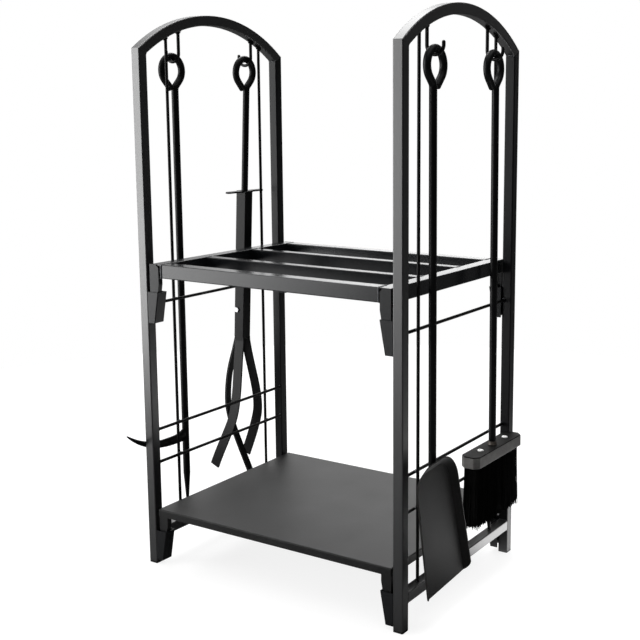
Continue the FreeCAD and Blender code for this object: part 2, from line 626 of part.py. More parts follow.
def pan_ring(x, y, grow, inset):
    """Outline of the pan at one height of its wall: tapered, round-topped, reaching below the lip."""
    top = PAN_TOP_Z + grow - inset
    low = PAN_LIP_Z - 30
    slope = math.atan2(PAN_TAPER, PAN_TOP_Z - PAN_LIP_Z)
    spare = (grow - inset) / math.cos(slope)
    foot_half = PAN_HALF + spare + (PAN_LIP_Z - low) * math.tan(slope)
    r = PAN_ROUND + grow - inset
    centre_z = top - r
    centre_y = PAN_HALF + spare - (centre_z - PAN_LIP_Z) * math.tan(slope) - r / math.cos(slope)
    tip = (centre_y + r * math.cos(slope), centre_z + r * math.sin(slope))
    half_way = (math.pi / 2 + slope) / 2
    bulge = (centre_y + r * math.cos(half_way), centre_z + r * math.sin(half_way))

    def at(side, dy, z):
        return Vector(x, y + side * dy, z)

    left = Part.Arc(at(-1, *tip), at(-1, *bulge), at(-1, centre_y, top)).toShape()
    right = Part.Arc(at(1, centre_y, top), at(1, *bulge), at(1, *tip)).toShape()
    return Part.Wire([Part.makeLine(at(-1, foot_half, low), at(-1, *tip)), left,
                      Part.makeLine(at(-1, centre_y, top), at(1, centre_y, top)), right,
                      Part.makeLine(at(1, *tip), at(1, foot_half, low)),
                      Part.makeLine(at(1, foot_half, low), at(-1, foot_half, low))])


def shovel():
    """Straight-lipped pan with flared walls, welded to the foot of its shaft."""
    y = HOOK_Y[0] + SHOVEL_SHIFT - SHAFT_OFF
    x, bar_z, eye_z = hang(TOOL_OFF, SHOVEL_SHIFT)
    bar = eye_bar(x, y, eye_z, SHAFT_BEHIND_PAN, -1)
    seat = x + TOOL_R
    back = seat + PAN_SHEET
    rim = seat + PAN_WALL
    pan_y = y - PAN_FORWARD
    outer = Part.makeLoft([pan_ring(seat, pan_y, 0, 0), pan_ring(rim, pan_y, PAN_FLARE, 0)], True, True)
    inner = Part.makeLoft([pan_ring(back, pan_y, PAN_FLARE * PAN_SHEET / PAN_WALL, PAN_SHEET),
                           pan_ring(rim + 0.01, pan_y, PAN_FLARE, PAN_SHEET)], True, True)
    pan = outer.cut(inner)
    side = PAN_HALF + PAN_FLARE + PAN_FORWARD + 5
    pan = pan.cut(box(seat - 5, rim + 5, y - side, y + side, 0, PAN_LIP_Z))
    # the walls' lower ends are rounded down to the lip
    corner = box(back, rim + 5, y - side, y + side, PAN_LIP_Z - 1, PAN_LIP_Z + PAN_WALL)
    bend = rod(Vector(seat, y - side, PAN_LIP_Z + PAN_WALL), Vector(seat, y + side, PAN_LIP_Z + PAN_WALL),
               PAN_WALL)
    pan = pan.cut(corner.cut(bend))
    weld = Vector(seat, y, PAN_SEAT_Z)
    pan = turned(turned(pan, PAN_SKEW, weld, X_AXIS), -PAN_LEAN, weld, Y_AXIS)
    keep("shovel_pan", hung(pan, x, y, bar_z, SHOVEL_LEAN))
    keep("shovel_handle", hung(bar.cut(pan), x, y, bar_z, SHOVEL_LEAN))


def block_ring(x, y0, y1, half_wide, z):
    """Long outline with cut corners at one height."""
    c = BLOCK_CHAMFER
    ring = [Vector(x + half_wide, y1 - c, z), Vector(x + half_wide - c, y1, z),
            Vector(x - half_wide + c, y1, z), Vector(x - half_wide, y1 - c, z),
            Vector(x - half_wide, y0 + c, z), Vector(x - half_wide + c, y0, z),
            Vector(x + half_wide - c, y0, z), Vector(x + half_wide, y0 + c, z)]
    ring.append(ring[0])
    return Part.makePolygon(ring)


def brush():
    """Hearth brush: bar, collar, capped block and a body of bristles."""
    y = HOOK_Y[1] + BRUSH_SHIFT + SHAFT_OFF
    x, bar_z, eye_z = hang(TOOL_OFF, BRUSH_SHIFT)
    y0 = y - BLOCK_HALF_LONG
    y1 = y + BLOCK_HALF_LONG

    def place(solid):
        swayed = turned(solid, -BRUSH_SWAY, Vector(x, HOOK_Y[1], bar_z), X_AXIS)
        return hung(swayed, x, y, bar_z, BRUSH_LEAN)

    bar = eye_bar(x, y, eye_z, BLOCK_TOP, 1)
    keep("brush_handle", place(bar))
    collar = Part.makeCone(6.6, TOOL_R + 0.5, 5.0, Vector(x, y, BLOCK_TOP))
    keep("brush_collar", place(collar.cut(rod(Vector(x, y, BLOCK_TOP - 1), Vector(x, y, 300), TOOL_R))))
    plate_z = BLOCK_TOP - PLATE_THICK
    foot = BLOCK_TOP - BLOCK_TALL
    rim = 0.6
    plate = Part.Face(block_ring(x, y0 + rim, y1 - rim, BLOCK_HALF_WIDE - rim, plate_z))
    plate = plate.extrude(Vector(0, 0, PLATE_THICK))
    holes = []
    screws = []
    for side in (-1, 1):
        sy = y + SCREW_OFF + side * SCREW_FROM_SHAFT
        stem = rod(Vector(x, sy, BLOCK_TOP - 12), Vector(x, sy, BLOCK_TOP), 1.8)
        dome = Part.makeSphere(SCREW_HEAD, Vector(x, sy, BLOCK_TOP - SCREW_HEAD + 1.7))
        dome = dome.common(box(x - 9, x + 9, sy - 9, sy + 9, BLOCK_TOP, BLOCK_TOP + 9))
        screws.append(place(one([stem, dome])))
        holes.append(stem)
    block = Part.Face(block_ring(x, y0, y1, BLOCK_HALF_WIDE, foot)).extrude(Vector(0, 0, plate_z - foot))
    rounded = [e for e in block.Edges if is_upright(e) or e.BoundBox.ZMax < foot + 0.1]
    block = block.makeFillet(1.5, rounded)
    for hole in holes:
        plate = plate.cut(hole)
        block = block.cut(hole)
    keep("brush_plate", place(plate))
    keep("brush_block", place(block))
    keep("brush_screws", *screws)
    half = BLOCK_HALF_WIDE - BRISTLE_GAP
    splay = BRISTLE_SPLAY
    top_ring = block_ring(x, y0 + BRISTLE_FRONT, y1 - BRISTLE_REAR, half, foot)
    low_ring = block_ring(x, y0 + BRISTLE_FRONT - splay, y1 - BRISTLE_REAR + splay, half + splay,
                          BRISTLE_TIP)
    bristles = Part.makeLoft([top_ring, low_ring], True, True)
    # the tuft stays clear of the uprights behind it
    limit = POST_X + ROD / 2 + 0.6
    keep("brush_bristles", place(bristles).cut(box(limit - 30, limit, -HALF, HALF, 0, BLOCK_TOP)))


def is_upright(edge):
    """True for an edge along Z."""
    return edge.BoundBox.ZLength > 5 and edge.BoundBox.XLength < 0.01 and edge.BoundBox.YLength < 0.01


def centre_shift():
    """Move that puts the middle of the whole footprint on the origin."""
    xs = []
    ys = []
    for solids in NODES.values():
        for solid in solids:
            points, _ = solid.tessellate(0.1)
            xs.extend(p.x for p in points)
            ys.extend(p.y for p in points)
    return Vector(-round((min(xs) + max(xs)) / 2, 1), -round((min(ys) + max(ys)) / 2, 1), 0)


def main():
    """Build every node and write one STEP file for each."""
    hoop("left", True)
    hoop("right", False)
    shelf()
    tray()
    poker()
    tongs()
    shovel()
    brush()
    shift = centre_shift()
    print("shift", shift.x, shift.y)
    os.makedirs("parts", exist_ok=True)
    for name, solids in NODES.items():
        moved = []
        for solid in solids:
            copy = solid.copy()
            copy.translate(shift)
            moved.append(copy)
        shape = moved[0] if len(moved) == 1 else Part.makeCompound(moved)
        shape.exportStep(f"parts/{name}.step")
        box_ = shape.BoundBox
        print(f"{name:24s} {len(moved)} valid={shape.isValid()} "
              f"x {box_.XMin:8.1f} {box_.XMax:8.1f} y {box_.YMin:8.1f} {box_.YMax:8.1f} "
              f"z {box_.ZMin:7.1f} {box_.ZMax:7.1f} vol {sum(s.Volume for s in moved):10.0f}")


main()
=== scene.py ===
"""Looks of the firewood log rack: coated steel hoops, slatted shelf, tray and hearth tools.

Metres, +Z up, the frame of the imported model. Sizes of the sub-assemblies are in millimetres
from the middle of the rack's floor space, and Place turns them into scene coordinates.
"""

import json
import logging
import math
from dataclasses import dataclass, field
from enum import Enum
from typing import Any, Dict, List, Optional, Sequence, Tuple

import bmesh
import bpy
from mathutils import Matrix, Vector


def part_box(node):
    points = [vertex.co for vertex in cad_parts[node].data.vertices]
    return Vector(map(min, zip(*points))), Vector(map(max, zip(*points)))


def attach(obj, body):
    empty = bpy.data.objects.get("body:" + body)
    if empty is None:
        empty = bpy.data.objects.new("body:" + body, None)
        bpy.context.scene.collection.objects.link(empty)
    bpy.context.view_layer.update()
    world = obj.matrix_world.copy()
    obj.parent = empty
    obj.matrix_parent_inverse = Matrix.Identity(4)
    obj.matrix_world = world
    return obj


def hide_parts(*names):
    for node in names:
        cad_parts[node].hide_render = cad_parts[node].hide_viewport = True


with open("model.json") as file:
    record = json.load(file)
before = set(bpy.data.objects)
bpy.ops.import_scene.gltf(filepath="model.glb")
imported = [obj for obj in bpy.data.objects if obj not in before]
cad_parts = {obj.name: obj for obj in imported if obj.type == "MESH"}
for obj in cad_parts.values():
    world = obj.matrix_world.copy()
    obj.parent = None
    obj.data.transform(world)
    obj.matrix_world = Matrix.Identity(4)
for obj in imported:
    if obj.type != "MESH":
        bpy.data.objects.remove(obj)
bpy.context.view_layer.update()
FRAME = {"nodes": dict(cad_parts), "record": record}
LOG = logging.getLogger("rack")
Colour = Tuple[float, float, float]
Point = Tuple[float, float, float]


class Side(Enum):
    """Which hoop something belongs to, and the sign of its X."""

    LEFT = -1
    RIGHT = 1


class Relief(Enum):
    """How the surface of a finish is broken up."""

    ORANGE_PEEL = "orange peel"
    ROLLED = "rolled"
    GRAIN = "grain"


class Ray(Enum):
    """What a lookup ray is for."""

    CAMERA = "Is Camera Ray"
    GLOSSY = "Is Glossy Ray"


# ---- shader helpers ---------------------------------------------------------------
class Num:
    """A number in a shader tree; Python arithmetic on it adds Math nodes."""

    def __init__(self, tree: "Tree", socket: bpy.types.NodeSocket) -> None:
        """Wrap a socket.

        Args:
            tree: The tree that the socket is in.
            socket: An output socket that carries a number.
        """
        self.tree = tree
        self.socket = socket

    def _math(self, operation: str, first: Any, second: Any = None, clamp: bool = False) -> "Num":
        """Add one Math node.

        Args:
            operation: The node's operation.
            first: First operand.
            second: Second operand, if the operation takes one.
            clamp: Limit the result to 0 and 1.

        Returns:
            The node's result.
        """
        values = {0: first}
        if second is not None:
            values[1] = second
        made = self.tree.add("ShaderNodeMath", {"operation": operation, "use_clamp": clamp}, values)
        return Num(self.tree, made.outputs[0])

    def __add__(self, other: Any) -> "Num":
        """Sum."""
        return self._math("ADD", self, other)

    def __radd__(self, other: Any) -> "Num":
        """Reflected sum."""
        return self._math("ADD", other, self)

    def __sub__(self, other: Any) -> "Num":
        """Difference."""
        return self._math("SUBTRACT", self, other)

    def __rsub__(self, other: Any) -> "Num":
        """Reflected difference."""
        return self._math("SUBTRACT", other, self)

    def __mul__(self, other: Any) -> "Num":
        """Product."""
        return self._math("MULTIPLY", self, other)

    def __rmul__(self, other: Any) -> "Num":
        """Reflected product."""
        return self._math("MULTIPLY", other, self)

    def __pow__(self, other: Any) -> "Num":
        """Power."""
        return self._math("POWER", self, other)

    def clipped(self) -> "Num":
        """Limited to 0 and 1."""
        return self._math("ADD", self, 0.0, clamp=True)

    def ramp(self, low: float, high: float, start: float = 0.0, end: float = 1.0) -> "Num":
        """Smooth step between two values.

        Args:
            low: Value at which the result is start.
            high: Value at which the result is end.
            start: Result at low and below.
            end: Result at high and above.

        Returns:
            The smoothed result.
        """
        settings = {"interpolation_type": "SMOOTHSTEP"}
        values = {"Value": self, "From Min": low, "From Max": high, "To Min": start, "To Max": end}
        return Num(self.tree, self.tree.add("ShaderNodeMapRange", settings, values).outputs[0])


class Tree:
    """Builds the nodes of one material, world or geometry tree."""

    def __init__(self, nodes: bpy.types.NodeTree) -> None:
        """Start from an empty tree.

        Args:
            nodes: The tree to fill.
        """
        self.nodes = nodes
        nodes.nodes.clear()

    def add(self, kind: str, settings: Optional[Dict[str, Any]] = None,
            values: Optional[Dict[Any, Any]] = None) -> bpy.types.Node:
        """Add a node: its settings first, then its sockets' values and links.

        Args:
            kind: Type of the node.
            settings: Properties of the node, or "stops" for a colour ramp.
            values: What each socket gets, by name or number: a value, a socket, a node or a Num.

        Returns:
            The new node.
        """
        made = self.nodes.nodes.new(kind)
        for key, value in (settings or {}).items():
            if key == "stops":
                self._stops(made, value)
            else:
                setattr(made, key, value)
        for key, value in (values or {}).items():
            self.put(made.inputs[key], value)
        return made

    def _stops(self, ramp: bpy.types.Node, stops: Sequence[Tuple[float, Colour]]) -> None:
        """Set a colour ramp's stops.

        Args:
            ramp: The ramp's node.
            stops: Positions and colours.
        """
        elements = ramp.color_ramp.elements
        while len(elements) < len(stops):
            elements.new(1.0)
        for element, (place, colour) in zip(elements, stops):
            element.position = place
            element.color = (*colour, 1.0)

    def put(self, socket: bpy.types.NodeSocket, value: Any) -> None:
        """Give a socket a value or a link.

        Args:
            socket: The input socket.
            value: A plain value, a socket, a node or a Num.
        """
        if isinstance(value, Num):
            self.nodes.links.new(value.socket, socket)
        elif isinstance(value, bpy.types.Node):
            self.nodes.links.new(value.outputs[0], socket)
        elif isinstance(value, bpy.types.NodeSocket):
            self.nodes.links.new(value, socket)
        else:
            socket.default_value = value

    def number(self, node: bpy.types.Node, output: Any = 0) -> Num:
        """A node's output as a Num."""
        return Num(self, node.outputs[output])

    def where(self) -> bpy.types.NodeSocket:
        """Object coordinates."""
        return self.add("ShaderNodeTexCoord").outputs["Object"]

    def cloud(self, scale: float, detail: float = 3.0, stretch: Point = (1.0, 1.0, 1.0),
              rough: float = 0.5) -> Num:
        """Noise over the surface.

        Args:
            scale: Waves in a metre.
            detail: Octaves.
            stretch: Factors on X, Y and Z.
            rough: Weight of the finer octaves.

        Returns:
            A number about 0.5.
        """
        place = self.add("ShaderNodeMapping", None, {"Vector": self.where(), "Scale": stretch})
        made = self.add("ShaderNodeTexNoise", None,
                        {"Vector": place, "Scale": scale, "Detail": detail, "Roughness": rough})
        return self.number(made, "Fac")

    def blend(self, mask: Any, low: Any, high: Any) -> bpy.types.NodeSocket:
        """Mix two colours.

        Args:
            mask: 0 for low, 1 for high.
            low: A colour or a socket.
            high: A colour or a socket.

        Returns:
            The mixed colour's socket.
        """
        low = (*low, 1.0) if isinstance(low, tuple) else low
        high = (*high, 1.0) if isinstance(high, tuple) else high
        made = self.add("ShaderNodeMix", {"data_type": "RGBA"}, {0: mask, 6: low, 7: high})
        return made.outputs[2]

    def split(self, vector: Any) -> Tuple[Num, Num, Num]:
        """The three parts of a vector."""
        parts = self.add("ShaderNodeSeparateXYZ", None, {0: vector})
        return self.number(parts, 0), self.number(parts, 1), self.number(parts, 2)


@dataclass(frozen=True)
class Coat:
    """A paint, plastic, wood or metal finish with drift, grain and relief."""

    name: str
    colour: Colour
    drift: Colour
    roughness: float
    swing: float = 0.06
    specular: float = 0.5
    metallic: float = 0.0
    patch: float = 9.0
    grain: float = 900.0
    depth: float = 0.00004
    relief: Relief = Relief.ORANGE_PEEL
    # Weight and colour of a pale grey on upward faces: partly dust, partly a painted highlight on top
    # faces.
    dust_and_top_light: float = 0.0
    dust_and_top_light_colour: Colour = (0.30, 0.29, 0.28)

    def make(self) -> bpy.types.Material:
        """Build the material.

        Returns:
            The finished material.
        """
        material = bpy.data.materials.new(self.name)
        material.use_nodes = True
        tree = Tree(material.node_tree)
        broad = tree.cloud(self.patch, 4.0)
        fine = tree.cloud(self.patch * 14.0, 5.0, rough=0.65)
        mask = (broad.ramp(0.34, 0.68) * 0.65 + fine.ramp(0.38, 0.66) * 0.35).clipped()
        colour = tree.blend(mask, self.colour, self.drift)
        rough = broad * self.swing + fine * (self.swing * 0.8) + (self.roughness - 0.9 * self.swing)
        # Upward faces are mixed toward a pale grey: partly dust, partly a painted highlight that
        # lightens top faces as overhead light would.
        if self.dust_and_top_light:
            normal = tree.add("ShaderNodeTexCoord").outputs["Normal"]
            up = tree.split(normal)[2].ramp(0.55, 0.98)
            lay = (up * fine.ramp(0.35, 0.75, 0.35, 1.0) * self.dust_and_top_light).clipped()
            colour = tree.blend(lay, colour, self.dust_and_top_light_colour)
            rough = rough + lay * 0.25
        shader = tree.add("ShaderNodeBsdfPrincipled", None, {
            "Base Color": colour, "Roughness": rough.clipped(), "Metallic": self.metallic,
            "Specular IOR Level": self.specular, "Normal": self._relief(tree)})
        tree.add("ShaderNodeOutputMaterial", None, {"Surface": shader})
        return material

    def _relief(self, tree: Tree) -> bpy.types.Node:
        """The bump of the finish.

        Args:
            tree: The material's tree.

        Returns:
            A Bump node.
        """
        if self.relief is Relief.GRAIN:
            height = tree.cloud(self.grain, 6.0, (1.0, 0.08, 1.0), 0.7)
        elif self.relief is Relief.ROLLED:
            rolled = tree.cloud(self.grain, 4.0, (1.0, 0.25, 1.0), 0.6)
            height = rolled * 0.6 + tree.cloud(60.0, 3.0) * 0.4
        else:
            height = tree.cloud(self.grain, 3.0, rough=0.55)
        return tree.add("ShaderNodeBump", None,
                        {"Strength": 1.0, "Distance": self.depth, "Height": height})


class Palette:
    """Every finish of the rack, by the name of its material slot."""

    COATS: Tuple[Tuple[str, Coat], ...] = (
        ("frame_coat", Coat("satin_black_powder",
            (0.0026, 0.0029, 0.0034), (0.0056, 0.0060, 0.0070), 0.36, specular=0.85,
            depth=0.00003, dust_and_top_light=0.05)),
        # Painted shade: a darker, less shiny copy of the satin black powder that darkens the rear
        # posts.
        ("rear_post_coat", Coat("rear_post_shaded_powder",
            (0.0024, 0.0028, 0.0034), (0.0052, 0.0057, 0.0066), 0.42, specular=0.18,
            depth=0.00003)),
        ("rod_coat", Coat("rod_powder",
            (0.0018, 0.0018, 0.0019), (0.0040, 0.0040, 0.0042), 0.45, specular=0.14,
            depth=0.00002)),
        ("socket_coat", Coat("pocket_powder",
            (0.0030, 0.0036, 0.0044), (0.0065, 0.0074, 0.0086), 0.38, specular=0.22,
            depth=0.00003)),
        ("shelf_coat", Coat("blue_black_powder",
            (0.0045, 0.0052, 0.0062), (0.0090, 0.0102, 0.0122), 0.24, specular=0.32,
            depth=0.00003, dust_and_top_light=0.03, relief=Relief.ROLLED, grain=500.0)),
        ("slat_coat", Coat("blue_black_slat_powder",
            (0.0040, 0.0046, 0.0054), (0.0080, 0.0090, 0.0106), 0.24, specular=0.12,
            depth=0.00003, relief=Relief.ROLLED, grain=500.0)),
        ("sheet_coat", Coat("mottled_sheet_powder",
            (0.0040, 0.0042, 0.0044), (0.0120, 0.0120, 0.0120), 0.5, swing=0.16, specular=0.22,
            patch=16.0, dust_and_top_light=0.02)),
        ("pan_coat", Coat("scuffed_pan_powder",
            (0.0045, 0.0043, 0.0043), (0.0125, 0.0118, 0.0118), 0.5, swing=0.12, specular=0.16,
            patch=22.0)),
        ("tool_coat", Coat("black_enamel",
            (0.0010, 0.0011, 0.0013), (0.0024, 0.0026, 0.0030), 0.42, specular=0.15,
            depth=0.00002)),
        ("foot_plastic", Coat("matt_black_plastic",
            (0.0040, 0.0040, 0.0040), (0.0080, 0.0080, 0.0080), 0.62, specular=0.3)),
        ("bristle", Coat("black_fibre",
            (0.0004, 0.0004, 0.0004), (0.0012, 0.0012, 0.0012), 0.7, specular=0.05,
            patch=120.0)),
        ("brush_block", Coat("grey_stained_wood",
            (0.085, 0.083, 0.080), (0.160, 0.156, 0.150), 0.62, swing=0.12, specular=0.25,
            patch=40.0, grain=700.0, depth=0.00015, relief=Relief.GRAIN)),
        ("brush_cap", Coat("mottled_cap",
            (0.0020, 0.0019, 0.0018), (0.0110, 0.0105, 0.0098), 0.6, swing=0.2, patch=90.0,
            specular=0.08)),
        ("brush_collar", Coat("brown_collar",
            (0.045, 0.036, 0.030), (0.110, 0.092, 0.078), 0.5, patch=120.0)),
        ("screw", Coat("zinc_screw",
            (0.78, 0.78, 0.77), (0.88, 0.88, 0.87), 0.4, metallic=0.2, patch=150.0)),
        ("bolt", Coat("dark_zinc",
            (0.30, 0.30, 0.31), (0.46, 0.46, 0.47), 0.36, metallic=0.9, patch=200.0)),
        ("weld", Coat("painted_weld",
            (0.020, 0.022, 0.026), (0.055, 0.060, 0.068), 0.34, swing=0.1, specular=0.7,
            patch=180.0, depth=0.00006)),
    )

    def __init__(self) -> None:
        """Make every material once."""
        self.materials: Dict[str, bpy.types.Material] = {n: c.make() for n, c in self.COATS}

    def __getitem__(self, slot: str) -> bpy.types.Material:
        """Material of a slot."""
        return self.materials[slot]


# ---- mesh helpers -----------------------------------------------------------------
@dataclass
class Place:
    """Turns millimetres from the middle of the rack into scene metres."""

    middle: Vector = field(default_factory=lambda: Place._middle())

    @staticmethod
    def _middle() -> Vector:
        """Middle of the rack's floor space, from the four posts."""
        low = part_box("left_front_post")[0]
        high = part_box("right_rear_post")[1]
        return Vector(((low[0] + high[0]) / 2, (low[1] + high[1]) / 2, 0.0))

    def __call__(self, x: float, y: float, z: float) -> Vector:
        """Scene point of millimetres from the middle."""
        return Vector((x, y, z)) / 1000.0 + self.middle


def link(name: str, mesh: bpy.types.Mesh, body: str, slot: str, palette: Palette,
         replaces: Sequence[str] = ()) -> bpy.types.Object:
    """Add a finished piece.

    Args:
        name: Name of the piece.
        mesh: Its mesh, in scene metres.
        body: The body that it rides on.
        slot: Its finish.
        palette: The finishes.
        replaces: CAD nodes that it stands for.

    Returns:
        The new object.
    """
    mesh.name = name
    if not mesh.materials:
        mesh.materials.append(palette[slot])
    made = bpy.data.objects.new(name, mesh)
    bpy.context.scene.collection.objects.link(made)
    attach(made, body)
    if replaces:
        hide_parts(*replaces)
    LOG.info("%s: %d faces on %s", name, len(mesh.polygons), body)
    return made


def smooth(mesh: bpy.types.Mesh) -> None:
    """Shade every face of a mesh smooth."""
    mesh.polygons.foreach_set("use_smooth", [True] * len(mesh.polygons))


class Grower:
    """Runs a geometry tree on a mesh of points or paths and keeps the plain result."""

    def __init__(self, name: str, inputs: Sequence[Tuple[str, str, Any]]) -> None:
        """Start a tree with named inputs.

        Args:
            name: Name of the tree.
            inputs: Name, socket type and starting value of each input.
        """
        self.group = bpy.data.node_groups.new(name, "GeometryNodeTree")
        face = self.group.interface
        face.new_socket(name="Geometry", in_out="INPUT", socket_type="NodeSocketGeometry")
        self.keys: Dict[str, str] = {}
        for label, kind, value in inputs:
            made = face.new_socket(name=label, in_out="INPUT", socket_type=kind)
            if value is not None:
                made.default_value = value
            self.keys[label] = made.identifier
        face.new_socket(name="Geometry", in_out="OUTPUT", socket_type="NodeSocketGeometry")
        self.tree = Tree(self.group)
        self.entry = self.tree.add("NodeGroupInput")

    def end(self, geometry: Any) -> None:
        """Finish the tree with Realize Instances and Set Material.

        Args:
            geometry: The grown geometry.
        """
        real = self.tree.add("GeometryNodeRealizeInstances", None, {0: geometry})
        dressed = self.tree.add("GeometryNodeSetMaterial", None,
                                {"Geometry": real, "Material": self.entry.outputs["Material"]})
        self.tree.add("NodeGroupOutput", None, {0: dressed})

    def run(self, seed_mesh: bpy.types.Mesh, values: Dict[str, Any]) -> bpy.types.Mesh:
        """Grow on a mesh.

        Args:
            seed_mesh: Points or paths in scene metres.
            values: What each named input gets.

        Returns:
            The result as a plain mesh.
        """
        holder = bpy.data.objects.new("growing", seed_mesh)
        bpy.context.scene.collection.objects.link(holder)
        modifier = holder.modifiers.new("grow", "NODES")
        modifier.node_group = self.group
        for label, value in values.items():
            modifier[self.keys[label]] = value
        graph = bpy.context.evaluated_depsgraph_get()
        mesh = bpy.data.meshes.new_from_object(holder.evaluated_get(graph))
        bpy.data.objects.remove(holder)
        smooth(mesh)
        return mesh


class WeldGrower(Grower):
    """Overlapping lumps along paths, as a weld bead has."""

    def __init__(self) -> None:
        """Build the tree."""
        super().__init__("weld_bead", [("Radius", "NodeSocketFloat", 0.0015),
                                       ("Pitch", "NodeSocketFloat", 0.0016),
                                       ("Seed", "NodeSocketInt", 3),
                                       ("Material", "NodeSocketMaterial", None)])
        tree, entry = self.tree, self.entry
        curve = tree.add("GeometryNodeMeshToCurve", None, {"Mesh": entry.outputs["Geometry"]})
        even = tree.add("GeometryNodeResampleCurve", {"mode": "LENGTH"},
                        {"Curve": curve, "Length": entry.outputs["Pitch"]})
        lump = tree.add("GeometryNodeMeshIcoSphere", None, {"Radius": entry.outputs["Radius"],
                                                            "Subdivisions": 2})
        size = tree.add("FunctionNodeRandomValue", {"data_type": "FLOAT_VECTOR"},
                        {0: (0.72, 0.72, 0.62), 1: (1.15, 1.15, 1.0), "Seed": entry.outputs["Seed"]})
        turn = tree.add("FunctionNodeRandomValue", {"data_type": "FLOAT_VECTOR"},
                        {0: (-0.5, -0.5, -3.1), 1: (0.5, 0.5, 3.1), "Seed": entry.outputs["Seed"]})
        laid = tree.add("GeometryNodeInstanceOnPoints", None,
                        {"Points": even, "Instance": lump.outputs["Mesh"], "Scale": size,
                         "Rotation": turn})
        self.end(laid)

    def bead(self, paths: Sequence[Sequence[Vector]], radius: float, palette: Palette,
             seed: int, slot: str = "weld") -> bpy.types.Mesh:
        """Weld beads along paths.

        Args:
            paths: Each a list of scene points.
            radius: Half the bead's width in metres.
            palette: The finishes.
            seed: Seed of the lumps.
            slot: Finish of the beads.

        Returns:
            One mesh with every bead.
        """
        mesh = bpy.data.meshes.new("paths")
        points: List[Vector] = []
        edges: List[Tuple[int, int]] = []
        for path in paths:
            start = len(points)
            points.extend(path)
            edges.extend((start + i, start + i + 1) for i in range(len(path) - 1))
        mesh.from_pydata(points, edges, [])
        return self.run(mesh, {"Radius": radius, "Pitch": radius * 0.85, "Seed": seed,
                               "Material": palette[slot]})


# ---- sub-assemblies ---------------------------------------------------------------
@dataclass
class Hoop:
    """One welded side frame."""

    side: Side
    half_width: float = 222.5
    half_depth: float = 160.0
    tube: float = 15.0
    arch_radius: float = 249.04
    arch_centre: float = 544.96
    base_low: float = 37.0
    rod_radius: float = 2.25
    rod_places: Tuple[float, float] = (-110.0, 99.0)
    hook_places: Tuple[float, float] = (-91.0, 73.0)
    cross_heights: Tuple[float, float, float] = (153.0, 203.0, 392.0)
    corner_round: float = 1.6
    spot_bead: float = 0.0017
    spot_seed: int = 5
    root_bead: float = 0.0023
    root_seed: int = 14
    seam_bead: float = 0.0011
    seam_seed: int = 8

    def at(self, place: Place, x: float, y: float, z: float) -> Vector:
        """Scene point of this hoop; the left one is the right one turned half a turn."""
        sign = self.side.value
        return place(sign * x, sign * y, z)

    def under_arch(self, y: float) -> float:
        """Height of the arch's underside at a place along Y."""
        return self.arch_centre + math.sqrt(self.arch_radius ** 2 - y * y)

    def _root(self, place: Place, x: float, y: float, high: float) -> List[List[Vector]]:
        """Paths of the flared weld where a rod or hook meets the arch.

        Args:
            place: Turns millimetres into scene metres.
            x: Middle of the rod.
            y: Its place along Y.
            high: Height of the arch's underside there.

        Returns:
            A long pass against the arch and a short one below it.
        """
        slope = -y / (high - self.arch_centre)
        passes = ((0.5, (-5.0, -2.5, 0.0, 2.5, 5.0)), (3.0, (-2.4, 0.0, 2.4)))
        return [[self.at(place, x, y + dy, high - below + dy * slope) for dy in steps]
                for below, steps in passes]

    def _stroke(self, place: Place, first: Point, last: Point) -> List[Vector]:
        """Path of a straight bead between two places on this hoop."""
        return [self.at(place, *first), self.at(place, *last)]

    def _add(self, what: str, paths: Sequence[Sequence[Vector]], radius: float, seed: int, slot: str,
             palette: Palette, welds: WeldGrower) -> None:
        """Grow one set of beads and ride it on the rack.

        Args:
            what: End of the piece's name.
            paths: Paths of the beads.
            radius: Half a bead's width in metres.
            seed: Seed of the lumps.
            slot: Finish of the beads.
            palette: The finishes.
            welds: Grows the beads.
        """
        mesh = welds.bead(paths, radius, palette, seed, slot)
        link(f"{self.side.name.lower()}_hoop_{what}_welds", mesh, "rack", slot, palette)

    def build(self, place: Place, palette: Palette, welds: WeldGrower) -> None:
        """Add the hoop's welds.

        Args:
            place: Turns millimetres into scene metres.
            palette: The finishes.
            welds: Grows the beads.
        """
        mid = self.half_width - self.tube / 2
        inner = self.half_depth - self.tube
        face = self.half_width - self.tube
        top = self.base_low + self.tube
        rod_face = mid - self.rod_radius
        cross_x = mid - 2 * self.rod_radius - 0.05
        spots: List[List[Vector]] = []
        roots: List[List[Vector]] = []
        for y in self.rod_places:
            foot = top + 0.3
            spots.append(self._stroke(place, (mid, y - 2.2, foot), (mid, y + 2.2, foot)))
            roots.extend(self._root(place, mid, y, self.under_arch(y)))
            for z in self.cross_heights:
                high = z + 1.2
                spots.append(self._stroke(place, (rod_face, y - 2.0, high), (rod_face, y + 2.0, high)))
        for y in self.hook_places:
            roots.extend(self._root(place, mid, y, self.under_arch(y)))
        for z in self.cross_heights:
            for end in (-1, 1):
                y = end * (inner - 0.6)
                spots.append(self._stroke(place, (cross_x, y, z - 2.4), (cross_x, y, z + 2.4)))
        self._add("spot", spots, self.spot_bead, self.spot_seed, "weld", palette, welds)
        self._add("root", roots, self.root_bead, self.root_seed, "rod_coat", palette, welds)
        seams: List[List[Vector]] = []
        near, far = face + self.corner_round, self.half_width - self.corner_round
        for end in (-1, 1):
            y = end * (inner - 0.3)
            for z in (top, self.base_low):
                seams.append(self._stroke(place, (near, y, z), (far, y, z)))
            seams.append(self._stroke(place, (face, y, self.base_low + 1.5), (face, y, top - 1.5)))
            corner = self.under_arch(inner)
            seams.append(self._stroke(place, (near, y, corner), (far, y, corner)))
        self._add("seam", seams, self.seam_bead, self.seam_seed, "weld", palette, welds)


